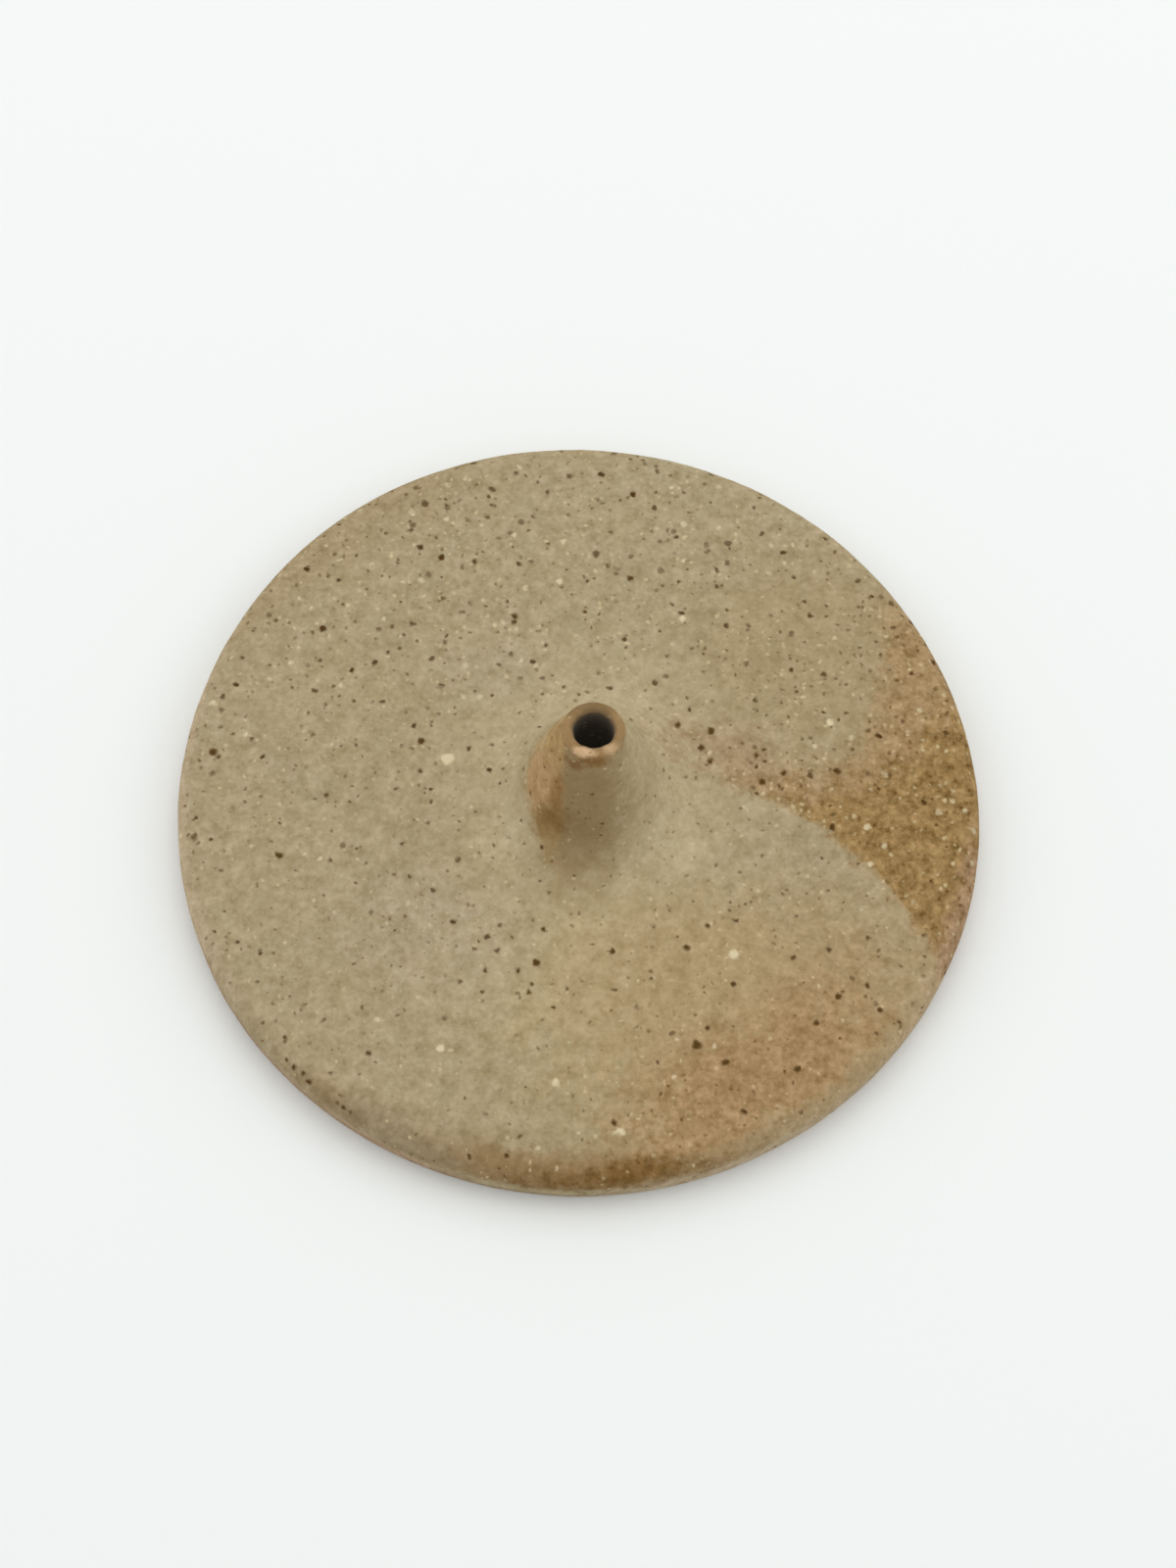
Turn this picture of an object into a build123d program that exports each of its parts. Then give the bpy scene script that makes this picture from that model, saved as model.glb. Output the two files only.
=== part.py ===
"""Incense stick holder: a round stoneware plate with a short bored stem luted to its middle.

Millimetres, +Z up. The origin is at the middle of the plate's underside, on the table.
"""

import os
from math import atan2, degrees

from build123d import *

# Plate: a slab of clay cut round, with a sponged edge and a slight crown
PLATE_DIAMETER = 90.0
EDGE_THICKNESS = 5.2
CROWN_THICKNESS = 6.0
EDGE_ROUND = 2.2
FOOT_ROUND = 0.9

# Seat: the raised clay that the stem is luted to, flared out into the plate
STEM_OFFSET = 1.1
SEAT_HEIGHT = 10.4
SEAT_DIAMETER = 14.0
FLARE_RADIUS = 6.0

# Stem: a cone that narrows to a rolled lip
HOLDER_HEIGHT = 21.0
LIP_THICKNESS = 1.2

# Hole for the stick, closed at its lower end by the plate
BORE_DIAMETER = 4.4
BORE_FLOOR = 2.6

plate_radius = PLATE_DIAMETER / 2
seat_radius = SEAT_DIAMETER / 2
bore_radius = BORE_DIAMETER / 2
lip_radius = LIP_THICKNESS / 2
lip_height = HOLDER_HEIGHT - SEAT_HEIGHT - lip_radius
flank_taper = degrees(atan2(seat_radius - bore_radius - LIP_THICKNESS, lip_height))

seat_plane = Plane(origin=(STEM_OFFSET, 0, SEAT_HEIGHT))
stem_section = Plane(origin=(STEM_OFFSET, 0, SEAT_HEIGHT), x_dir=(1, 0, 0), z_dir=(0, -1, 0))
stem_axis = Axis((STEM_OFFSET, 0, 0), (0, 0, 1))

# The plate is turned from its half section, then gets the seat, the flare and the blind end of the hole
with BuildPart() as plate:
    with BuildSketch(Plane.XZ) as slab_section:
        with BuildLine():
            Polyline(
                (0, 0),
                (plate_radius, 0),
                (plate_radius, EDGE_THICKNESS),
                (0, CROWN_THICKNESS),
                close=True,
            )
        make_face()
        fillet(slab_section.vertices().group_by(Axis.X)[-1].sort_by(Axis.Y)[0], radius=FOOT_ROUND)
        fillet(slab_section.vertices().group_by(Axis.X)[-1].sort_by(Axis.Y)[-1], radius=EDGE_ROUND)
    revolve(axis=Axis.Z)

    with BuildSketch(seat_plane):
        Circle(seat_radius)
    extrude(amount=SEAT_HEIGHT - BORE_FLOOR, dir=(0, 0, -1), taper=-flank_taper)
    seat_edges = plate.edges(Select.LAST).filter_by(GeomType.LINE, reverse=True)
    fillet(seat_edges.sort_by(Axis.Z)[0], radius=FLARE_RADIUS)

    with Locations(seat_plane):
        Hole(radius=bore_radius, depth=SEAT_HEIGHT - BORE_FLOOR)
plate.part.label = "plate"

# The stem is turned from the wall between its bore and its flank, whose slope the seat carries on
with BuildPart() as stem:
    with BuildSketch(stem_section):
        with BuildLine():
            foot = Line((bore_radius, 0), (seat_radius, 0))
            flank = Line(foot @ 1, (bore_radius + LIP_THICKNESS, lip_height))
            lip = ThreePointArc(
                flank @ 1,
                (bore_radius + lip_radius, lip_height + lip_radius),
                (bore_radius, lip_height),
            )
            Line(lip @ 1, foot @ 0)
        make_face()
    revolve(axis=stem_axis)
stem.part.label = "stem"

os.makedirs("parts", exist_ok=True)
for piece in (plate.part, stem.part):
    export_step(piece, f"parts/{piece.label}.step")
    box = piece.bounding_box()
    print(f"{piece.label}: {piece.volume:.0f} mm3, z {box.min.Z:.2f} to {box.max.Z:.2f} mm")
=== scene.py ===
"""Dresses the incense stick holder: a round stoneware plate with a short bored stem at its middle.

Sizes are in millimetres until they reach a mesh, which is in metres in the holder's own frame:
+Z up, the middle of the underside at the origin, and the viewer of the photograph towards -Y.
"""

import logging
from dataclasses import dataclass
from enum import Enum, IntEnum
from math import atan2, ceil, cos, exp, hypot, pi, radians, sin, tan, tau
from typing import Union

import bmesh
import bpy
from mathutils import Matrix, Vector, noise

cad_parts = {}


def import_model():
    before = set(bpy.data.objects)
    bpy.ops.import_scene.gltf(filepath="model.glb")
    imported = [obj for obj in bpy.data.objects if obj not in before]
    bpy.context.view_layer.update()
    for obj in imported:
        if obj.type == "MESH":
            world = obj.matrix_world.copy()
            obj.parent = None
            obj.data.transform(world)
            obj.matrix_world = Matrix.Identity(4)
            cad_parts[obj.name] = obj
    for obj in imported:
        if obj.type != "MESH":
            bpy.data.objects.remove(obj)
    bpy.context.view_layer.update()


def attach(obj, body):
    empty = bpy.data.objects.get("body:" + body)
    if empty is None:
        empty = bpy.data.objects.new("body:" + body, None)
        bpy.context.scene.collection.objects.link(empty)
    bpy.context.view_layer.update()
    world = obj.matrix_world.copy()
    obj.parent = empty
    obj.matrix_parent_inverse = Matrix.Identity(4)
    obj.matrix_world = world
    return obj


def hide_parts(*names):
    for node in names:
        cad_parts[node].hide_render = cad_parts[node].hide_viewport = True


MM = 0.001
SHARP_ANGLE = radians(40)
WELD = 0.0005 * MM
SECTORS = 20

# A reach so long that a boundary has the same outline at every height
TALL = 400.0

# The height that the outlines of marks on the plate are centred at
PLATE_LEVEL = 5.0

# What a noise texture gives on average
NOISE_MEAN = 0.5

Pair = tuple[float, float]
Triple = tuple[float, float, float]
Colour = tuple[float, float, float, float]
Socket = bpy.types.NodeSocket

log = logging.getLogger("incense_stick_holder")


class MixSocket(IntEnum):
    """Places of the colour sockets on a Mix node, whose sockets share their names."""

    FACTOR = 0
    FIRST = 6
    SECOND = 7
    RESULT = 2


class Side(Enum):
    """The side of a boundary that a mark lies on, as its mask just inside and just outside."""

    INSIDE = (1.0, 0.0)
    OUTSIDE = (0.0, 1.0)


class Grain(Enum):
    """What a grain in the clay is, as the sign of its relief."""

    IRON = -1.0
    FELDSPAR = 1.0


def linear(code: str) -> Colour:
    """Turns an sRGB hex colour into the linear values that a shader takes.

    Args:
        code: The colour as "#rrggbb".

    Returns:
        Linear red, green and blue, and an alpha of 1.
    """
    levels = [int(code[place : place + 2], 16) / 255 for place in (1, 3, 5)]
    red, green, blue = (v / 12.92 if v <= 0.04045 else ((v + 0.055) / 1.055) ** 2.4 for v in levels)
    return red, green, blue, 1.0


def ease(low: float, high: float, value: float) -> float:
    """Rises smoothly from 0 at low to 1 at high.

    Args:
        low: Where the rise starts.
        high: Where it ends.
        value: The place to read.

    Returns:
        The height of the rise there.
    """
    share = min(1.0, max(0.0, (value - low) / (high - low)))
    return share * share * (3 - 2 * share)


def add_node(
    tree: bpy.types.NodeTree,
    kind: str,
    inputs: dict[Union[str, int], Union[Socket, float, Triple, Colour]],
    **settings: Union[str, bool, float],
) -> bpy.types.Node:
    """Adds one shader node, sets it up and links what feeds it.

    Args:
        tree: The node tree to add to.
        kind: The node's type, without the leading "ShaderNode".
        inputs: What goes into its sockets, by name or place: an output socket is linked, and a
            value is set.
        **settings: The node's own options.

    Returns:
        The new node.
    """
    node = tree.nodes.new(f"ShaderNode{kind}")
    for option, value in settings.items():
        setattr(node, option, value)
    for place, value in inputs.items():
        if isinstance(value, Socket):
            tree.links.new(value, node.inputs[place])
        else:
            node.inputs[place].default_value = value
    return node


@dataclass(frozen=True)
class Boundary:
    """An ellipsoid in the holder's frame that limits a mark, in millimetres.

    A long reach along one axis makes it a cylinder or, close to its skin, a plane.
    """

    centre: Triple
    reach: Triple
    fade: float
    ragged: float
    side: Side = Side.INSIDE
    turn: float = 0.0

    @classmethod
    def within(cls, radius: float, fade: float, ragged: float) -> "Boundary":
        """Makes a circle round the plate's middle, with the mark inside it."""
        return cls((0.0, 0.0, PLATE_LEVEL), (radius, radius, TALL), fade, ragged)

    @classmethod
    def beyond(cls, radius: float, fade: float, ragged: float) -> "Boundary":
        """Makes a circle round the plate's middle, with the mark outside it."""
        return cls((0.0, 0.0, PLATE_LEVEL), (radius, radius, TALL), fade, ragged, Side.OUTSIDE)

    @classmethod
    def patch(
        cls, middle: Pair, reach: Pair, fade: float, ragged: float, turn: float = 0.0
    ) -> "Boundary":
        """Makes an ellipse on the plate, which may be turned by some degrees."""
        return cls((*middle, PLATE_LEVEL), (*reach, TALL), fade, ragged, turn=turn)

    @classmethod
    def belt(cls, level: float, reach: float, fade: float, ragged: float) -> "Boundary":
        """Makes a level belt round the holder, which reaches as far up as down."""
        return cls((0.0, 0.0, level), (TALL, TALL, reach), fade, ragged)

    def mask(self, tree: bpy.types.NodeTree, place: Socket, wander: Socket) -> Socket:
        """Adds the nodes that fade across this boundary.

        Args:
            tree: The material's node tree.
            place: Position in millimetres.
            wander: Noise from about -1 to 1 that breaks the boundary's line.

        Returns:
            The mask, from 0 to 1.
        """
        scale = min(self.reach)
        inner, outer = self.side.value
        spin = (0.0, 0.0, radians(self.turn))
        mapped = add_node(
            tree,
            "Mapping",
            {"Vector": place, "Location": self.centre, "Rotation": spin, "Scale": self.reach},
            vector_type="TEXTURE",
        )
        depth = add_node(tree, "VectorMath", {0: mapped.outputs[0]}, operation="LENGTH")
        broken = add_node(
            tree,
            "Math",
            {0: wander, 1: self.ragged / scale, 2: depth.outputs["Value"]},
            operation="MULTIPLY_ADD",
        )
        half = self.fade / scale / 2
        ends = {"From Min": 1 - half, "From Max": 1 + half, "To Min": inner, "To Max": outer}
        faded = add_node(
            tree, "MapRange", {"Value": broken.outputs[0], **ends}, interpolation_type="SMOOTHSTEP"
        )
        return faded.outputs[0]


@dataclass(frozen=True)
class KilnAndPaintedLightMark:
    """A patch of colour inside all of its boundaries, which flame, fly ash or a wet finger left, or
    which is painted light and shade.

    Bite is the contrast that the mark adds to the sand in the clay, or takes from it.
    """

    colour: str
    strength: float
    boundaries: tuple[Boundary, ...]
    bite: float = 0.0


@dataclass(frozen=True)
class GrainLayer:
    """Grains of one kind and size that are spread through the clay, in millimetres.

    One grain sits in each cell of the given width. Its radius runs from nothing up to the largest
    one, and the cells past the share hold none. Its colour comes in over the edge's width, half of
    it outside.
    """

    kind: Grain
    colour: str
    cell: float
    radius: float
    share: float
    edge: float
    strength: float


@dataclass(frozen=True)
class PlacedGrain:
    """A grain on the plate that is large enough to be known by its place, in millimetres."""

    kind: Grain
    x: float
    y: float
    radius: float
    z: float = 5.6


@dataclass(frozen=True)
class Stoneware:
    """Bare stoneware fired in a flame kiln: sandy grey-tan clay with iron and feldspar in it.

    It looks dry and matt, with dark specks and pale grains. Flame and ash turned it amber and pink
    where nothing shielded it. A noise's detail is its octaves and its roughness.
    """

    marks: tuple[KilnAndPaintedLightMark, ...]
    layers: tuple[GrainLayer, ...]
    placed: tuple[PlacedGrain, ...]
    name: str = "flame_fired_stoneware"
    clay: str = "#ab9b79"
    clay_cool: str = "#a99a78"
    clay_warm: str = "#ad9b78"
    iron: str = "#573e18"
    feldspar: str = "#dccda6"
    roughness: Pair = (0.74, 0.94)
    rough_span: float = 0.5
    specular: float = 0.15
    cloud_size: float = 7.0
    cloud_detail: Pair = (4.0, 0.6)
    cloud_stops: Triple = (0.36, 0.5, 0.66)
    wander_size: float = 2.2
    wander_detail: Pair = (6.0, 0.75)
    wander_span: Pair = (0.25, 0.75)
    warp_size: float = 0.7
    warp_detail: float = 1.0
    warp_depth: float = 0.6
    sand_detail: Pair = (2.0, 0.65)
    sand_size: float = 0.6
    sand_contrast: float = 0.62
    coarse_size: float = 1.7
    coarse_contrast: float = 0.8
    sand_tone: Triple = (0.88, 1.0, 1.34)
    sand_least: float = 0.2
    crowd: Pair = (0.7, 1.0)
    crowd_ends: Pair = (-32.0, 30.0)
    smear: float = 0.5
    smear_most: float = 1.15
    swell: float = 0.2
    faintest: float = 0.5
    placed_edge: float = 0.4
    shelf_line: float = 0.15
    shelf_shift: Triple = (0.0, 0.0, -3 * TALL)
    relief: float = 0.04

    def make(self) -> bpy.types.Material:
        """Builds the material from its clay, kiln marks and painted light and shade, sand and
        grains.

        Returns:
            The finished material.
        """
        material = bpy.data.materials.new(self.name)
        material.use_nodes = True
        tree = material.node_tree
        shader = tree.nodes["Principled BSDF"]
        shader.inputs["Specular IOR Level"].default_value = self.specular

        own = add_node(tree, "TexCoord", {}).outputs["Object"]
        place = add_node(
            tree, "VectorMath", {0: own, "Scale": 1 / MM}, operation="SCALE"
        ).outputs[0]
        colour, bite = self.flamed_and_painted_light(tree, place)
        colour, sand = self.sanded(tree, place, colour, bite)
        colour, height = self.grained(tree, place, colour, bite, sand)
        smooth, dry = self.roughness
        span = {"From Min": -self.rough_span, "From Max": self.rough_span}
        rough = add_node(
            tree, "MapRange", {"Value": height, **span, "To Min": dry, "To Max": smooth}
        )
        bump = add_node(tree, "Bump", {"Height": height, "Distance": self.relief * MM})
        tree.links.new(colour, shader.inputs["Base Color"])
        tree.links.new(rough.outputs[0], shader.inputs["Roughness"])
        tree.links.new(bump.outputs[0], shader.inputs["Normal"])
        return material

    def flamed_and_painted_light(self, tree: bpy.types.NodeTree, place: Socket) -> tuple[Socket, Socket]:
        """Lays the clouded clay colour, the kiln marks and the painted light and shade on it.

        Args:
            tree: The material's node tree.
            place: Position in millimetres.

        Returns:
            The colour, and how strongly the sand shows in it.
        """
        detail = dict(zip(("Detail", "Roughness"), self.cloud_detail))
        cloud = add_node(
            tree, "TexNoise", {"Vector": place, "Scale": 1 / self.cloud_size, **detail}
        )
        cool, plain, warm = self.cloud_stops
        ramp = add_node(tree, "ValToRGB", {"Fac": cloud.outputs["Fac"]})
        ramp.color_ramp.elements[0].position = cool
        ramp.color_ramp.elements[0].color = linear(self.clay_cool)
        ramp.color_ramp.elements[1].position = warm
        ramp.color_ramp.elements[1].color = linear(self.clay_warm)
        ramp.color_ramp.elements.new(plain).color = linear(self.clay)
        colour = ramp.outputs["Color"]

        detail = dict(zip(("Detail", "Roughness"), self.wander_detail))
        noisy = add_node(
            tree, "TexNoise", {"Vector": place, "Scale": 1 / self.wander_size, **detail}
        )
        span = dict(zip(("From Min", "From Max"), self.wander_span))
        wander = add_node(
            tree,
            "MapRange",
            {"Value": noisy.outputs["Fac"], **span, "To Min": -1.0},
            clamp=False,
        ).outputs[0]
        # The kiln shelf kept flame and ash off the underside, so its points are sent far below
        # every mark
        height = add_node(tree, "SeparateXYZ", {0: place}).outputs["Z"]
        shelved = add_node(
            tree, "Math", {0: height, 1: self.shelf_line}, operation="LESS_THAN"
        ).outputs[0]
        reached = add_node(
            tree,
            "VectorMath",
            {0: shelved, 1: self.shelf_shift, 2: place},
            operation="MULTIPLY_ADD",
        ).outputs[0]
        bite: Union[Socket, float] = 1.0
        for mark in self.marks:
            mask = mark.boundaries[0].mask(tree, reached, wander)
            for boundary in mark.boundaries[1:]:
                other = boundary.mask(tree, reached, wander)
                mask = add_node(
                    tree, "Math", {0: mask, 1: other}, operation="MULTIPLY"
                ).outputs[0]
            if mark.bite:
                bite = add_node(
                    tree, "Math", {0: mask, 1: mark.bite, 2: bite}, operation="MULTIPLY_ADD"
                ).outputs[0]
            weight = add_node(
                tree, "Math", {0: mask, 1: mark.strength}, operation="MULTIPLY"
            ).outputs[0]
            colour = self.mixed(tree, weight, colour, mark.colour)
        return colour, bite

    def sanded(
        self, tree: bpy.types.NodeTree, place: Socket, colour: Socket, bite: Socket
    ) -> tuple[Socket, Socket]:
        """Breaks a colour into the fine light and dark sand of the clay.

        Args:
            tree: The material's node tree.
            place: Position in millimetres.
            colour: The colour to break up.
            bite: How strongly the sand shows.

        Returns:
            The sandy colour, and the sand's own height about zero.
        """
        height: Union[Socket, float] = 0.0
        detail = dict(zip(("Detail", "Roughness"), self.sand_detail))
        grades = ((self.sand_size, self.sand_contrast), (self.coarse_size, self.coarse_contrast))
        for size, contrast in grades:
            grade = add_node(tree, "TexNoise", {"Vector": place, "Scale": 1 / size, **detail})
            about_zero = add_node(
                tree, "Math", {0: grade.outputs["Fac"], 1: NOISE_MEAN}, operation="SUBTRACT"
            ).outputs[0]
            height = add_node(
                tree, "Math", {0: about_zero, 1: contrast, 2: height}, operation="MULTIPLY_ADD"
            ).outputs[0]
        # Dark sand holds more iron, so it takes more of the blue than of the red
        level = add_node(tree, "Math", {0: height, 1: bite}, operation="MULTIPLY").outputs[0]
        tinted = add_node(
            tree,
            "VectorMath",
            {0: level, 1: self.sand_tone, 2: (1.0,) * 3},
            operation="MULTIPLY_ADD",
        ).outputs[0]
        kept = add_node(
            tree, "VectorMath", {0: tinted, 1: (self.sand_least,) * 3}, operation="MAXIMUM"
        ).outputs[0]
        lit = add_node(tree, "VectorMath", {0: colour, 1: kept}, operation="MULTIPLY")
        return lit.outputs[0], height

    def grained(
        self, tree: bpy.types.NodeTree, place: Socket, colour: Socket, bite: Socket, sand: Socket
    ) -> tuple[Socket, Socket]:
        """Sets the grains of every layer into the clay, and then the placed ones.

        Args:
            tree: The material's node tree.
            place: Position in millimetres.
            colour: The sandy colour to set them in.
            bite: How strongly the flame brought the feldspar out.
            sand: The sand's height about zero.

        Returns:
            The colour with grains, and the height of the surface about zero.
        """
        noisy = add_node(
            tree,
            "TexNoise",
            {"Vector": place, "Scale": 1 / self.warp_size, "Detail": self.warp_detail},
        )
        about_zero = add_node(
            tree,
            "VectorMath",
            {0: noisy.outputs["Color"], 1: (NOISE_MEAN,) * 3},
            operation="SUBTRACT",
        ).outputs[0]
        warped = add_node(
            tree,
            "VectorMath",
            {0: about_zero, 1: (self.warp_depth,) * 3, 2: place},
            operation="MULTIPLY_ADD",
        ).outputs[0]
        axes = add_node(tree, "SeparateXYZ", {0: place})
        names = ("From Min", "From Max", "To Min", "To Max")
        ends = dict(zip(names, self.crowd_ends + self.crowd))
        crowd = add_node(tree, "MapRange", {"Value": axes.outputs["Y"], **ends}).outputs[0]
        calm = add_node(
            tree, "Math", {0: bite, 1: self.smear_most}, operation="MINIMUM"
        ).outputs[0]
        causes = ((Grain.IRON, calm, self.smear), (Grain.FELDSPAR, bite, self.swell))
        reaches: dict[Grain, Socket] = {}
        for kind, cause, gain in causes:
            share = add_node(
                tree, "Math", {0: cause, 1: gain, 2: 1 - gain}, operation="MULTIPLY_ADD"
            ).outputs[0]
            reaches[kind] = add_node(
                tree, "Math", {0: crowd, 1: share}, operation="MULTIPLY"
            ).outputs[0]
        height = sand
        for layer in self.layers:
            cells = add_node(tree, "TexVoronoi", {"Vector": warped, "Scale": 1 / layer.cell})
            chance = add_node(tree, "SeparateColor", {"Color": cells.outputs["Color"]})
            size = add_node(
                tree,
                "Math",
                {0: chance.outputs["Red"], 1: -1 / layer.share, 2: reaches[layer.kind]},
                operation="MULTIPLY_ADD",
            ).outputs[0]
            radius = add_node(
                tree, "Math", {0: size, 1: layer.radius}, operation="MULTIPLY"
            ).outputs[0]
            depth = add_node(
                tree,
                "Math",
                {0: cells.outputs["Distance"], 1: -layer.cell, 2: radius},
                operation="MULTIPLY_ADD",
            ).outputs[0]
            least = self.faintest * layer.strength
            most = add_node(
                tree,
                "MapRange",
                {"Value": chance.outputs["Green"], "To Min": least, "To Max": layer.strength},
            ).outputs[0]
            half = layer.edge / 2
            core = add_node(
                tree,
                "MapRange",
                {"Value": depth, "From Min": -half, "From Max": half, "To Max": most},
                interpolation_type="SMOOTHSTEP",
            ).outputs[0]
            colour = self.mixed(tree, core, colour, layer.colour)
            height = add_node(
                tree, "Math", {0: core, 1: layer.kind.value, 2: height}, operation="MULTIPLY_ADD"
            ).outputs[0]
        for kind, shade in ((Grain.IRON, self.iron), (Grain.FELDSPAR, self.feldspar)):
            deepest: Union[Socket, float] = -1.0
            for grain in self.placed:
                if grain.kind is kind:
                    spot = (grain.x, grain.y, grain.z)
                    away = add_node(
                        tree, "VectorMath", {0: warped, 1: spot}, operation="DISTANCE"
                    )
                    reach = grain.radius + self.placed_edge / 2
                    depth = add_node(
                        tree, "Math", {0: reach, 1: away.outputs["Value"]}, operation="SUBTRACT"
                    ).outputs[0]
                    deepest = add_node(
                        tree, "Math", {0: depth, 1: deepest}, operation="MAXIMUM"
                    ).outputs[0]
            core = add_node(
                tree,
                "MapRange",
                {"Value": deepest, "From Max": self.placed_edge},
                interpolation_type="SMOOTHSTEP",
            ).outputs[0]
            colour = self.mixed(tree, core, colour, shade)
            height = add_node(
                tree, "Math", {0: core, 1: kind.value, 2: height}, operation="MULTIPLY_ADD"
            ).outputs[0]
        return colour, height

    def mixed(
        self, tree: bpy.types.NodeTree, weight: Socket, under: Socket, over: str
    ) -> Socket:
        """Mixes a shade over a colour.

        Args:
            tree: The material's node tree.
            weight: How much of the shade shows.
            under: The colour under it.
            over: The shade, as sRGB hex.

        Returns:
            The mixed colour.
        """
        shade = linear(over)
        sockets = {MixSocket.FACTOR: weight, MixSocket.FIRST: under, MixSocket.SECOND: shade}
        return add_node(tree, "Mix", sockets, data_type="RGBA").outputs[MixSocket.RESULT]


@dataclass(frozen=True)
class LutedJoint:
    """The joint where the stem is luted to the plate's seat, in millimetres and degrees."""

    offset: float = 1.1
    height: float = 10.4
    radius: float = 7.0
    lean: float = 19.8
    bore: float = 2.2


@dataclass
class TurnedPiece:
    """A clay piece that is turned from a section round an upright axis, then roughened by hand."""

    name: str
    node: str
    joint: LutedJoint
    steps: int
    swell_height: float = 0.05
    swell_size: float = 5.0
    grit_height: float = 0.022
    grit_size: float = 1.1
    joint_clear: float = 1.5

    def draw_section(self, bm: bmesh.types.BMesh) -> None:
        """Draws the half section in the XZ plane; each kind of piece has its own.

        Args:
            bm: The empty mesh to draw in.
        """
        raise NotImplementedError

    def work(self, point: Vector, out: Vector) -> Vector:
        """Moves a point as the potter's hands did; each kind of piece has its own way.

        Args:
            point: The point, in millimetres.
            out: The surface's outward direction there.

        Returns:
            The point's new place, in millimetres.
        """
        raise NotImplementedError

    def build(self) -> bpy.types.Object:
        """Turns the section, roughens it and makes the object that stands for the CAD node.

        Returns:
            The object, in place.
        """
        bm = bmesh.new()
        self.draw_section(bm)
        upright = {"cent": (0.0, 0.0, 0.0), "axis": (0.0, 0.0, 1.0)}
        sector = tau / SECTORS
        bmesh.ops.spin(
            bm, geom=bm.verts[:] + bm.edges[:], angle=sector, steps=self.steps // SECTORS, **upright
        )
        # The whole turn is made of copies of one sector, which is far quicker than one long spin
        bmesh.ops.spin(
            bm,
            geom=bm.verts[:] + bm.edges[:] + bm.faces[:],
            angle=tau - sector,
            steps=SECTORS - 1,
            use_duplicate=True,
            **upright,
        )
        bmesh.ops.remove_doubles(bm, verts=bm.verts[:], dist=WELD)
        bmesh.ops.recalc_face_normals(bm, faces=bm.faces[:])
        bm.normal_update()
        places = [self.work(vert.co / MM, vert.normal.copy()) for vert in bm.verts]
        for vert, place in zip(bm.verts, places):
            vert.co = place * MM
        for face in bm.faces:
            face.smooth = True
        for edge in bm.edges:
            edge.smooth = edge.calc_face_angle(pi) < SHARP_ANGLE
        mesh = bpy.data.meshes.new(self.name)
        bm.to_mesh(mesh)
        bm.free()
        piece = bpy.data.objects.new(self.name, mesh)
        bpy.context.scene.collection.objects.link(piece)
        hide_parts(self.node)
        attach(piece, "root")
        return piece

    def dress(self, piece: bpy.types.Object, finish: bpy.types.Material, slot: str) -> None:
        """Gives the piece its finish.

        Args:
            piece: The built object.
            finish: The material.
            slot: A material slot's name, which is not used.
        """
        piece.data.materials.append(finish)
        log.info("%s: %d faces in %s", piece.name, len(piece.data.polygons), finish.name)

    def grit(self, point: Vector) -> float:
        """Height of the hand-worked surface over the turned one.

        Args:
            point: A point on the surface, in millimetres.

        Returns:
            The height in millimetres, which is nothing at the luted joint.
        """
        swell = self.swell_height * noise.noise(point / self.swell_size)
        coarse = self.grit_height * noise.noise(point / self.grit_size)
        return (swell + coarse) * ease(0.0, self.joint_clear, abs(point.z - self.joint.height))


@dataclass(frozen=True)
class Lobe:
    """A slow swelling of the plate's outline, in waves per turn, millimetres and degrees."""

    waves: int
    height: float
    angle: float


@dataclass(frozen=True)
class Nick:
    """A small chip in the plate's rim, in degrees round the plate and millimetres."""

    angle: float
    width: float
    depth: float


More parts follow.
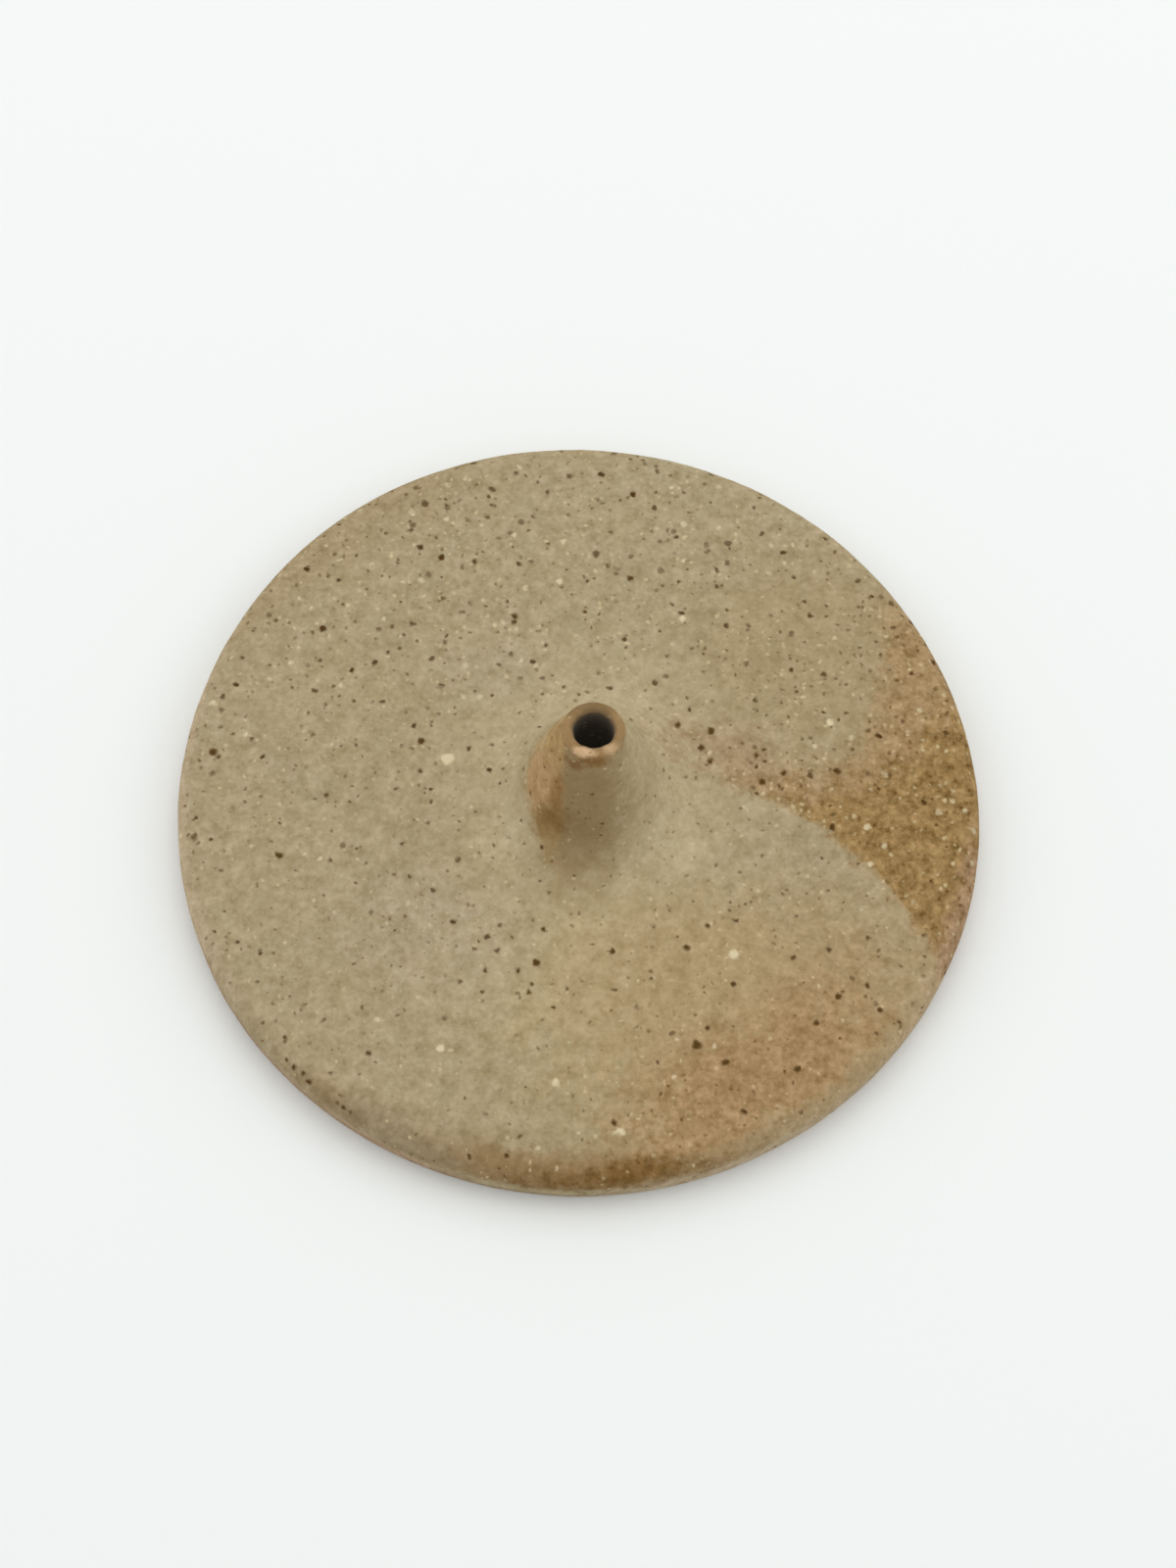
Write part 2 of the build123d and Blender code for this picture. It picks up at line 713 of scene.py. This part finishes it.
@dataclass
class Plate(TurnedPiece):
    """The round slab with its sponged edge, and the flared seat that carries the stem."""

    steps: int = 560
    radius: float = 45.0
    edge: float = 5.2
    crown: float = 6.0
    edge_round: float = 2.2
    edge_segments: int = 9
    foot_round: float = 0.9
    foot_segments: int = 4
    flare: float = 6.0
    flare_segments: int = 18
    bore_floor: float = 2.6
    top_pitch: float = 0.36
    hidden_pitch: float = 3.0
    offset_ends: Pair = (12.0, 34.0)
    warp: float = 0.12
    warp_size: float = 22.0
    warp_slice: float = 7.0
    warp_foot: float = 0.5
    warp_start: Pair = (9.0, 16.0)
    lobe_start: float = 20.0
    lobes: tuple[Lobe, ...] = (Lobe(2, 0.11, -85.0), Lobe(3, 0.13, -15.0), Lobe(5, 0.06, -11.0))
    nick_start: Pair = (43.2, 44.8)
    nick_foot: Pair = (2.0, 3.6)
    nicks: tuple[Nick, ...] = (Nick(-149.6, 2.2, 0.35), Nick(-30.9, 1.8, 0.3))

    def draw_section(self, bm: bmesh.types.BMesh) -> None:
        """Draws the plate's corners, rounds three of them and divides the lines between.

        Args:
            bm: The empty mesh to draw in.
        """
        slope = (self.crown - self.edge) / self.radius
        lean = tan(radians(self.joint.lean))
        spread = (self.joint.height - self.crown) * lean
        corner = (self.joint.radius + spread) / (1 - slope * lean)
        corner_height = self.crown - slope * corner
        line = (
            (0.0, 0.0),
            (self.radius, 0.0),
            (self.radius, self.edge),
            (corner, corner_height),
            (self.joint.radius, self.joint.height),
            (self.joint.bore, self.joint.height),
            (self.joint.bore, self.bore_floor),
            (0.0, self.bore_floor),
        )
        corners = [bm.verts.new((x * MM, 0.0, z * MM)) for x, z in line]
        for start, end in zip(corners, corners[1:]):
            bm.edges.new((start, end))
        flare_reach = self.flare * tan(radians(90 - self.joint.lean) / 2)
        rounds = (
            (corners[1], self.foot_round, self.foot_segments),
            (corners[2], self.edge_round, self.edge_segments),
            (corners[3], flare_reach, self.flare_segments),
        )
        for vert, reach, segments in rounds:
            bmesh.ops.bevel(
                bm,
                geom=[vert],
                offset=reach * MM,
                affect="VERTICES",
                segments=segments,
                profile=0.5,
                material=-1,
            )
        for edge in bm.edges[:]:
            first, second = (vert.co for vert in edge.verts)
            middle = (first + second) / 2 / MM
            hidden = first.z == second.z or middle.z <= 0 or middle.x <= self.joint.bore
            pitch = self.hidden_pitch if hidden else self.top_pitch
            cuts = ceil(edge.calc_length() / MM / pitch) - 1
            if cuts > 0:
                bmesh.ops.subdivide_edges(bm, edges=[edge], cuts=cuts)

    def work(self, point: Vector, out: Vector) -> Vector:
        """Moves the seat under the stem, and makes the slab a little uneven and its rim chipped.

        Args:
            point: The point, in millimetres.
            out: The surface's outward direction there.

        Returns:
            The point's new place, in millimetres.
        """
        distance = hypot(point.x, point.y)
        angle = atan2(point.y, point.x)
        flat = Vector((point.x, point.y, 0.0)).normalized()
        moved = point.copy()
        moved.x += self.joint.offset * (1 - ease(*self.offset_ends, distance))
        if point.z > 0:
            moved += out * self.grit(moved)
        rim = ease(self.lobe_start, self.radius, distance)
        for lobe in self.lobes:
            moved += flat * rim * lobe.height * cos(lobe.waves * (angle - radians(lobe.angle)))
        upper = ease(self.warp_foot, self.edge, point.z) * ease(*self.warp_start, distance)
        spot = Vector((point.x, point.y, self.warp_slice)) / self.warp_size
        moved.z += self.warp * upper * noise.noise(spot)
        for nick in self.nicks:
            along = (angle - radians(nick.angle) + pi) % tau - pi
            chip = exp(-((along * self.radius / nick.width * 2) ** 2))
            upper_edge = ease(*self.nick_start, distance) * ease(*self.nick_foot, point.z)
            moved -= flat * nick.depth * chip * upper_edge
        return moved


@dataclass
class Stem(TurnedPiece):
    """The bored cone that takes the stick, narrowing to a rolled lip."""

    steps: int = 220
    top: float = 21.0
    lip: float = 1.2
    flank_steps: int = 44
    lip_steps: int = 16
    bore_steps: int = 14
    bore_skin: float = 0.01
    sway_start: float = 2.0
    lip_sway: float = 0.2
    sway_rate: float = 1.6
    sway_shift: Triple = (3.0, 0.0, 0.0)
    lip_swell: float = 0.16
    lip_swell_rate: float = 2.2
    lip_swell_shift: Triple = (0.0, 8.0, 0.0)
    mouth_press: float = 0.3
    press_depth: float = 5.0

    def draw_section(self, bm: bmesh.types.BMesh) -> None:
        """Draws the flank up from the joint, the lip's half round, and the bore down again.

        Args:
            bm: The empty mesh to draw in.
        """
        lip_height = self.top - self.lip / 2
        foot = Vector((self.joint.radius, 0.0, self.joint.height))
        head = Vector((self.joint.bore + self.lip, 0.0, lip_height))
        start = bm.verts.new(foot * MM)
        flank = bmesh.ops.extrude_vert_indiv(bm, verts=[start])
        bmesh.ops.translate(bm, verts=flank["verts"], vec=(head - foot) * MM)
        mouth = bmesh.ops.spin(
            bm,
            geom=flank["verts"],
            cent=(head - Vector((self.lip / 2, 0.0, 0.0))) * MM,
            axis=(0.0, -1.0, 0.0),
            angle=pi,
            steps=self.lip_steps,
        )
        edge_of_bore = [part for part in mouth["geom_last"] if isinstance(part, bmesh.types.BMVert)]
        bore = bmesh.ops.extrude_vert_indiv(bm, verts=edge_of_bore)
        drop = (0.0, 0.0, (self.joint.height - lip_height) * MM)
        bmesh.ops.translate(bm, verts=bore["verts"], vec=drop)
        bm.edges.new((bore["verts"][0], start))
        for line, cuts in ((flank, self.flank_steps - 1), (bore, self.bore_steps - 1)):
            bmesh.ops.subdivide_edges(bm, edges=line["edges"], cuts=cuts)

    def work(self, point: Vector, out: Vector) -> Vector:
        """Sets the cone over the seat and makes its flank and lip a little uneven.

        Args:
            point: The point, in millimetres.
            out: The surface's outward direction there.

        Returns:
            The point's new place, in millimetres.
        """
        moved = point + Vector((self.joint.offset, 0.0, 0.0))
        flat = Vector((point.x, point.y, 0.0)).normalized()
        inside = hypot(point.x, point.y) < self.joint.bore + self.bore_skin
        if not inside:
            moved += out * self.grit(moved)
        rise = ease(self.joint.height + self.sway_start, self.top, point.z)
        sway = noise.noise(flat * self.sway_rate + Vector(self.sway_shift))
        moved.z += self.lip_sway * rise * sway
        if not inside:
            swell = noise.noise(flat * self.lip_swell_rate + Vector(self.lip_swell_shift))
            moved += flat * self.lip_swell * rise * swell
        # A finger pressed the front of the mouth in, and the flank outside it stayed
        front = max(0.0, -flat.y) ** 2
        inner = 1 - ease(self.joint.bore, self.joint.bore + self.lip, hypot(point.x, point.y))
        mouth = ease(self.top - self.press_depth, self.top - self.lip, point.z)
        moved -= flat * self.mouth_press * front * inner * mouth
        return moved


@dataclass(frozen=True)
class Softbox:
    """A soft studio light, in metres.

    Its share is the part of the plain light level that it gives the plate.
    """

    name: str
    place: Triple
    size: float
    share: float

    def hang(self) -> None:
        """Adds the lamp, aimed at the holder."""
        lamp = bpy.data.lights.new(self.name, "AREA")
        lamp.shape = "SQUARE"
        lamp.size = self.size
        path = Vector(self.place)
        rise = path.normalized().z
        # The plate gets the lamp's power times the rise, over pi and the squared distance
        lamp.energy = self.share * pi * pi * path.length_squared / rise
        box = bpy.data.objects.new(self.name, lamp)
        box.location = path
        box.rotation_euler = path.to_track_quat("Z", "Y").to_euler()
        box.visible_camera = False
        bpy.context.scene.collection.objects.link(box)


@dataclass(frozen=True)
class Studio:
    """The plain pale table, the soft light round it and the photograph's camera."""

    floor_colour: str = "#f8fbf9"
    floor_roughness: float = 0.9
    floor_size: float = 3.0
    floor_gap: float = 0.02
    sky: float = 0.62
    boxes: tuple[Softbox, ...] = (
        Softbox("back_softbox", (0.0, 0.5, 0.9), 0.9, 0.26),
        Softbox("left_softbox", (-0.8, 0.1, 0.6), 0.7, 0.07),
        Softbox("right_softbox", (0.8, 0.1, 0.6), 0.7, 0.08),
    )
    lens: float = 54.0
    sensor: float = 36.0
    clip: Pair = (0.01, 20.0)
    elevation: float = 66.06
    roll: float = 3.79
    distance: float = 268.5
    aim: Triple = (0.88, 3.0, 0.0)

    def lay_floor(self) -> None:
        """Lays the pale table top just under the holder."""
        bm = bmesh.new()
        bmesh.ops.create_grid(bm, x_segments=1, y_segments=1, size=self.floor_size / 2)
        bmesh.ops.translate(bm, verts=bm.verts[:], vec=(0.0, 0.0, -self.floor_gap * MM))
        mesh = bpy.data.meshes.new("floor")
        bm.to_mesh(mesh)
        bm.free()
        # A matt white table top: no gloss, and no colour of its own but a trace of green
        material = bpy.data.materials.new("matt_white_table")
        material.use_nodes = True
        shader = material.node_tree.nodes["Principled BSDF"]
        shader.inputs["Base Color"].default_value = linear(self.floor_colour)
        shader.inputs["Roughness"].default_value = self.floor_roughness
        shader.inputs["Specular IOR Level"].default_value = 0.0
        mesh.materials.append(material)
        floor = bpy.data.objects.new("floor", mesh)
        bpy.context.scene.collection.objects.link(floor)

    def light(self) -> None:
        """Lights the world evenly and hangs the softboxes."""
        world = bpy.data.worlds.new("studio")
        world.use_nodes = True
        sky = world.node_tree.nodes["Background"]
        sky.inputs["Color"].default_value = (1.0, 1.0, 1.0, 1.0)
        sky.inputs["Strength"].default_value = self.sky
        bpy.context.scene.world = world
        for box in self.boxes:
            box.hang()
        bpy.context.scene.view_settings.view_transform = "Standard"

    def set_camera(self) -> None:
        """Sets the camera where the photograph was taken from."""
        camera = bpy.data.cameras.new("photo_camera")
        camera.lens = self.lens
        camera.sensor_width = self.sensor
        camera.sensor_fit = "AUTO"
        camera.clip_start, camera.clip_end = self.clip
        holder = bpy.data.objects.new("photo_camera", camera)
        rise = radians(self.elevation)
        eye = Vector(self.aim) + Vector((0.0, -cos(rise), sin(rise))) * self.distance
        tilt = Matrix.Rotation(pi / 2 - rise, 4, "X")
        roll = Matrix.Rotation(radians(self.roll), 4, "Z")
        holder.matrix_world = Matrix.Translation(eye * MM) @ (tilt @ roll)
        bpy.context.scene.collection.objects.link(holder)
        bpy.context.scene.camera = holder


# Outlines of two things that shielded the clay from the flame, of the flash beside the stem, and of
# the hole
FRONT_SHIELD = ((8.2, -32.1, PLATE_LEVEL), (34.8, 34.8, TALL))
BACK_SHIELD = ((22.4, 18.2, PLATE_LEVEL), (11.6, 14.6, TALL))
CRESCENT = ((-1.2, -0.8, 14.0), (3.9, 8.6, TALL))
LEFT_OF_STEM = ((-101.85, 0.0, 14.0), (100.0, TALL, TALL))
HOLE = ((1.1, 0.0, 14.0), (2.5, 2.5, TALL))

# Kiln marks, and marks of painted light and shade, each named in its own comment
KILN_AND_PAINTED_LIGHT_MARKS = (
    # Clay wiped with a wet finger round the foot of the stem
    KilnAndPaintedLightMark("#b9a985", 0.75, (Boundary.patch((2.6, 1.0), (17.0, 16.0), 13.0, 3.0),), -0.25),
    # Warm clay in front of the stem, made paler with painted light that lifts the shadow the stem
    # casts there
    KilnAndPaintedLightMark("#b9a57c", 0.7, (Boundary.patch((8.0, -22.0), (19.0, 10.5), 11.0, 5.0),), -0.1),
    # Cool patches in front of the stem on the left and behind it
    KilnAndPaintedLightMark("#b0a68c", 0.25, (Boundary.patch((-13.0, -19.0), (9.0, 7.0), 8.0, 3.5),)),
    KilnAndPaintedLightMark("#aea48a", 0.2, (Boundary.patch((-10.0, 14.5), (6.0, 5.0), 6.0, 3.0),)),
    # Yellow clay towards the front shoulder
    KilnAndPaintedLightMark("#ab966a", 0.35, (Boundary.patch((8.0, -35.0), (12.0, 6.0), 8.0, 3.0),)),
    # Warm clay along the rim behind on the left, and on the shoulder in front, with painted shade
    # on the shoulder in front on the left
    KilnAndPaintedLightMark("#9f8763", 0.45, (
        Boundary.beyond(40.0, 9.0, 2.5),
        Boundary.patch((-30.0, 31.0), (19.0, 14.0), 12.0, 3.0, 45.0),
    )),
    # Painted shade: darker clay on the shoulder in front on the left, where the rounded edge turns
    # away from the light
    KilnAndPaintedLightMark("#958365", 0.8, (
        Boundary.beyond(42.0, 3.6, 1.6),
        Boundary.patch((-9.0, -44.0), (16.0, 14.0), 10.0, 3.0),
        Boundary.belt(6.0, 2.6, 1.8, 0.5),
    )),
    KilnAndPaintedLightMark("#92744a", 0.75, (
        Boundary.beyond(41.6, 4.0, 2.0),
        Boundary.patch((6.0, -44.0), (17.0, 14.0), 9.0, 3.0),
        Boundary.belt(6.0, 2.6, 1.8, 0.5),
    )),
    KilnAndPaintedLightMark("#a9906a", 0.6, (
        Boundary.beyond(41.4, 2.6, 1.4),
        Boundary.patch((27.0, -34.0), (16.0, 12.0), 9.0, 3.0, 38.0),
        Boundary.belt(6.0, 2.8, 1.8, 0.5),
    )),
    # Painted shade along the foot of the wall, as a brown line where the wall meets the table, and
    # the pink wall above it on the left
    KilnAndPaintedLightMark("#8b7158", 0.6, (
        Boundary.beyond(44.0, 0.8, 0.2),
        Boundary.belt(0.0, 1.5, 1.4, 0.4),
    )),
    KilnAndPaintedLightMark("#a5876c", 0.65, (
        Boundary.beyond(44.3, 0.8, 0.3),
        Boundary.patch((-38.0, -24.0), (34.0, 34.0), 12.0, 3.0),
        Boundary.belt(0.0, 3.0, 1.4, 0.4),
    )),
    # Pale wall in front and on the right, which is painted light from the side falling on the wall
    KilnAndPaintedLightMark("#bba78c", 0.6, (
        Boundary.beyond(44.4, 0.8, 0.3),
        Boundary.patch((30.0, -38.0), (24.0, 30.0), 12.0, 3.0),
        Boundary.belt(0.0, 3.7, 1.4, 0.4),
    )),
    # Paler edge on both sides: painted highlight where the side light catches the shoulder of the
    # rim
    KilnAndPaintedLightMark("#c2ab8c", 0.6, (
        Boundary.beyond(43.7, 1.2, 0.4),
        Boundary.belt(7.0, 4.2, 1.6, 0.4),
        Boundary((0.0, -6.0, PLATE_LEVEL), (TALL, 20.0, TALL), 12.0, 3.0),
    )),
    # Warm wash behind on the right and in front on the right
    KilnAndPaintedLightMark("#a58e67", 0.45, (Boundary.patch((27.0, 18.0), (15.0, 13.0), 10.0, 3.0),), -0.1),
    KilnAndPaintedLightMark("#a99068", 0.6, (Boundary.patch((23.0, -23.0), (20.0, 12.5), 11.0, 4.0, 8.0),)),
    # Pink and amber wedge on the right, between the two shields
    KilnAndPaintedLightMark("#a48860", 0.95, (
        Boundary(*FRONT_SHIELD, 2.0, 2.0, Side.OUTSIDE),
        Boundary(*BACK_SHIELD, 4.0, 2.4, Side.OUTSIDE),
        Boundary.patch((44.0, 2.0), (27.5, 25.0), 7.0, 3.0),
    ), 0.7),
    KilnAndPaintedLightMark("#987a4b", 0.95, (
        Boundary(*FRONT_SHIELD, 1.2, 1.0, Side.OUTSIDE),
        Boundary((21.3, 21.6, PLATE_LEVEL), (21.2, 21.2, TALL), 4.0, 3.5, Side.OUTSIDE),
        Boundary.patch((43.0, 0.0), (23.5, 16.0), 7.0, 4.0),
    ), 0.55),
    # Pink where the amber meets the rim
    KilnAndPaintedLightMark("#a4866a", 0.6, (
        Boundary.beyond(43.2, 1.6, 1.0),
        Boundary.patch((42.0, -12.0), (6.0, 9.0), 4.0, 2.0),
        Boundary(*FRONT_SHIELD, 1.2, 0.9, Side.OUTSIDE),
    )),
    # Weak pink tail of the wedge, towards the stem
    KilnAndPaintedLightMark("#9e7f5e", 0.45, (Boundary.patch((15.5, 5.4), (7.5, 3.2), 3.4, 4.0, -16.0),), 0.3),
    # Pink blush that follows the rim at the front right, a little inside it
    KilnAndPaintedLightMark("#a6875e", 0.95, (
        Boundary.beyond(31.5, 9.0, 5.5),
        Boundary.within(43.2, 2.4, 1.2),
        Boundary.patch((20.5, -31.5), (14.0, 10.5), 13.0, 6.5, 38.0),
    ), 0.55),
    # Scorch on the front shoulder, and a weak one further left along it
    KilnAndPaintedLightMark("#79592a", 0.9, (
        Boundary((7.6, -43.4, 5.0), (8.6, 1.2, 2.2), 2.0, 1.5, turn=9.0),
    ), 0.7),
    KilnAndPaintedLightMark("#8a6c46", 0.4, (
        Boundary((-24.8, -36.6, 4.8), (5.2, 1.2, 1.8), 1.4, 0.9, turn=-35.0),
    )),
    # Brown front of the stem, in its own lee, down to the plate
    KilnAndPaintedLightMark("#9a845e", 0.95, (Boundary((-0.1, -5.0, 12.0), (4.6, 7.0, TALL), 5.6, 2.0),), -0.3),
    # Greyer back of the stem, darkened with painted shade, and paler clay on both sides of its
    # front
    KilnAndPaintedLightMark("#a09678", 0.6, (Boundary((1.4, 4.8, 13.0), (4.6, 3.6, 8.0), 4.0, 1.0),)),
    KilnAndPaintedLightMark("#c6b793", 0.5, (Boundary((-7.4, -6.6, 6.0), (3.4, 3.2, TALL), 3.6, 1.6),)),
    KilnAndPaintedLightMark("#c6b793", 0.4, (Boundary((11.0, -6.4, 6.0), (3.2, 3.0, TALL), 3.6, 1.6),)),
    # Golden flash on the left of the stem, salmon in its middle, with a brown edge and a brown foot
    KilnAndPaintedLightMark("#b09161", 0.95, (
        Boundary(*CRESCENT, 2.0, 1.3),
        Boundary(*LEFT_OF_STEM, 1.0, 0.9),
        Boundary((-3.0, -5.0, 14.0), (8.0, 8.0, TALL), 5.0, 1.5),
    ), 0.4),
    KilnAndPaintedLightMark("#bc9a70", 0.9, (
        Boundary((-4.3, -2.8, 12.5), (2.2, 3.2, 4.0), 1.8, 1.2),
        Boundary(*LEFT_OF_STEM, 1.0, 0.9),
    )),
    KilnAndPaintedLightMark("#9c794e", 0.85, (
        Boundary((-2.3, -4.4, 14.5), (0.9, 1.3, 3.6), 1.0, 0.8),
        Boundary(*LEFT_OF_STEM, 1.0, 0.9),
    )),
    KilnAndPaintedLightMark("#876a3d", 0.85, (Boundary((-3.0, -6.0, 10.0), (2.3, 1.4, 2.4), 1.8, 1.3),)),
    KilnAndPaintedLightMark("#a0865c", 0.75, (Boundary((-3.0, -7.7, 7.4), (1.2, 1.6, 1.6), 1.4, 1.0),)),
    # Brown lip, darker behind and in a broken band under its front, and pale patches on its front
    # that are partly painted highlight where the lip faces the light
    KilnAndPaintedLightMark("#9b7c52", 0.9, (Boundary((0.7, 0.2, 21.6), (4.2, 4.6, 2.2), 1.4, 0.8),)),
    KilnAndPaintedLightMark("#846b47", 0.85, (Boundary((0.3, 3.2, 20.9), (3.1, 1.5, 1.3), 1.0, 0.6),)),
    KilnAndPaintedLightMark("#8a683d", 0.9, (Boundary((1.9, -3.5, 20.4), (2.5, 0.6, 0.8), 0.6, 0.5),)),
    KilnAndPaintedLightMark("#84633a", 0.9, (Boundary((-0.8, -3.2, 19.3), (1.3, 0.9, 0.6), 0.6, 0.6),)),
    KilnAndPaintedLightMark("#d4b28a", 0.95, (Boundary((-0.1, -2.7, 20.95), (1.3, 0.6, 0.6), 0.5, 0.5),)),
    KilnAndPaintedLightMark("#c3a27b", 0.95, (Boundary((3.05, -2.1, 20.98), (0.75, 0.75, 0.6), 0.5, 0.4),)),
    # Painted shade inside the hole: dark clay in its upper part, and paler clay further down
    KilnAndPaintedLightMark("#6a6255", 1.0, (
        Boundary(*HOLE, 0.3, 0.03),
        Boundary((1.1, 0.0, 8.0), (12.0, 12.0, 12.6), 1.6, 0.2),
    ), -0.6),
    KilnAndPaintedLightMark("#b0a99c", 0.9, (
        Boundary(*HOLE, 0.3, 0.03),
        Boundary((1.1, 0.0, 2.0), (12.0, 12.0, 12.5), 7.0, 0.2),
    )),
)

# Fine and coarse grains of both kinds
GRAIN_LAYERS = (
    GrainLayer(Grain.FELDSPAR, "#dcca9f", 0.85, 0.26, 0.6, 0.26, 0.7),
    GrainLayer(Grain.FELDSPAR, "#e1d2ac", 2.0, 0.4, 0.55, 0.32, 0.8),
    GrainLayer(Grain.IRON, "#563606", 0.82, 0.27, 0.43, 0.28, 0.9),
    GrainLayer(Grain.IRON, "#4b3109", 1.28, 0.42, 0.5, 0.34, 1.0),
)

# The largest grains, placed after the photograph
PLACED_GRAINS = (
    PlacedGrain(Grain.IRON, -41.2, 1.5, 0.49),
    PlacedGrain(Grain.IRON, -40.5, 1.0, 0.34),
    PlacedGrain(Grain.IRON, -42.0, -8.9, 0.5),
    PlacedGrain(Grain.IRON, -41.5, -9.5, 0.34),
    PlacedGrain(Grain.IRON, -32.4, -10.4, 0.42),
    PlacedGrain(Grain.IRON, -13.0, 34.0, 0.38),
    PlacedGrain(Grain.IRON, -8.8, 21.0, 0.36),
    PlacedGrain(Grain.IRON, -18.1, 4.4, 0.44),
    PlacedGrain(Grain.IRON, 4.2, 27.0, 0.36),
    PlacedGrain(Grain.IRON, 25.2, 23.7, 0.37),
    PlacedGrain(Grain.IRON, 28.7, 4.2, 0.42),
    PlacedGrain(Grain.IRON, 10.5, 8.4, 0.4),
    PlacedGrain(Grain.IRON, 13.3, 5.8, 0.42),
    PlacedGrain(Grain.IRON, 14.3, 8.0, 0.42),
    PlacedGrain(Grain.IRON, 14.4, 4.2, 0.4),
    PlacedGrain(Grain.IRON, 20.3, 2.1, 0.38),
    PlacedGrain(Grain.IRON, 11.8, 10.4, 0.26),
    PlacedGrain(Grain.IRON, 11.2, 3.0, 0.28),
    PlacedGrain(Grain.IRON, 19.5, 5.3, 0.3),
    PlacedGrain(Grain.IRON, 20.4, 6.2, 0.22),
    PlacedGrain(Grain.IRON, 19.6, 4.0, 0.26),
    PlacedGrain(Grain.IRON, 22.7, 3.5, 0.32),
    PlacedGrain(Grain.IRON, 22.6, 1.5, 0.24),
    PlacedGrain(Grain.IRON, 34.0, 4.3, 0.26),
    PlacedGrain(Grain.IRON, 33.4, 19.2, 0.3),
    PlacedGrain(Grain.IRON, 14.3, -28.9, 0.5),
    PlacedGrain(Grain.IRON, 17.4, -30.7, 0.44),
    PlacedGrain(Grain.IRON, 32.4, -15.5, 0.38),
    PlacedGrain(Grain.IRON, -3.4, -20.9, 0.42),
    PlacedGrain(Grain.IRON, -5.3, -22.0, 0.28),
    PlacedGrain(Grain.IRON, -4.0, -24.3, 0.28),
    PlacedGrain(Grain.IRON, -2.8, -17.1, 0.26),
    PlacedGrain(Grain.IRON, 4.7, -19.1, 0.36),
    PlacedGrain(Grain.IRON, 12.7, -18.1, 0.34),
    PlacedGrain(Grain.IRON, 14.9, -15.4, 0.28),
    PlacedGrain(Grain.IRON, 29.3, -22.4, 0.34, 5.3),
    PlacedGrain(Grain.IRON, 27.0, -25.5, 0.34, 5.3),
    PlacedGrain(Grain.IRON, 33.8, -23.6, 0.32, 5.3),
    PlacedGrain(Grain.IRON, 32.4, -20.9, 0.26, 5.3),
    PlacedGrain(Grain.IRON, 25.1, -30.8, 0.36, 5.3),
    PlacedGrain(Grain.IRON, 19.5, -35.9, 0.32, 5.3),
    PlacedGrain(Grain.IRON, 6.0, -38.0, 0.32, 5.3),
    PlacedGrain(Grain.IRON, -29.0, -33.3, 0.24, 4.7),
    PlacedGrain(Grain.IRON, -28.2, -34.1, 0.3, 4.7),
    PlacedGrain(Grain.IRON, -27.0, -34.7, 0.26, 4.8),
    PlacedGrain(Grain.IRON, -26.5, -35.6, 0.3, 4.7),
    PlacedGrain(Grain.IRON, -23.2, -37.7, 0.22, 4.7),
    PlacedGrain(Grain.IRON, -22.5, -38.1, 0.28, 4.7),
    PlacedGrain(Grain.IRON, -21.8, -38.5, 0.24, 4.7),
    PlacedGrain(Grain.FELDSPAR, -15.0, 2.4, 0.72),
    PlacedGrain(Grain.FELDSPAR, 17.8, -18.4, 0.54),
    PlacedGrain(Grain.FELDSPAR, 6.7, -38.9, 0.5),
    PlacedGrain(Grain.FELDSPAR, 27.8, 10.2, 0.47),
    PlacedGrain(Grain.FELDSPAR, 43.1, 0.4, 0.42),
    PlacedGrain(Grain.FELDSPAR, -0.4, -34.1, 0.46),
    PlacedGrain(Grain.FELDSPAR, 32.5, -6.8, 0.4),
    PlacedGrain(Grain.FELDSPAR, -12.9, -31.2, 0.43),
    PlacedGrain(Grain.FELDSPAR, 10.5, 22.1, 0.37),
)


def main() -> None:
    """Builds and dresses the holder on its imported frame, then the studio round it."""
    logging.basicConfig(level=logging.INFO, format="%(message)s")
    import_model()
    finish = Stoneware(KILN_AND_PAINTED_LIGHT_MARKS, GRAIN_LAYERS, PLACED_GRAINS).make()
    joint = LutedJoint()
    for piece in (Plate("stoneware_plate", "plate", joint), Stem("stoneware_stem", "stem", joint)):
        piece.dress(piece.build(), finish, "stoneware")
    studio = Studio()
    studio.lay_floor()
    studio.light()
    studio.set_camera()


if __name__ == "__main__":
    main()
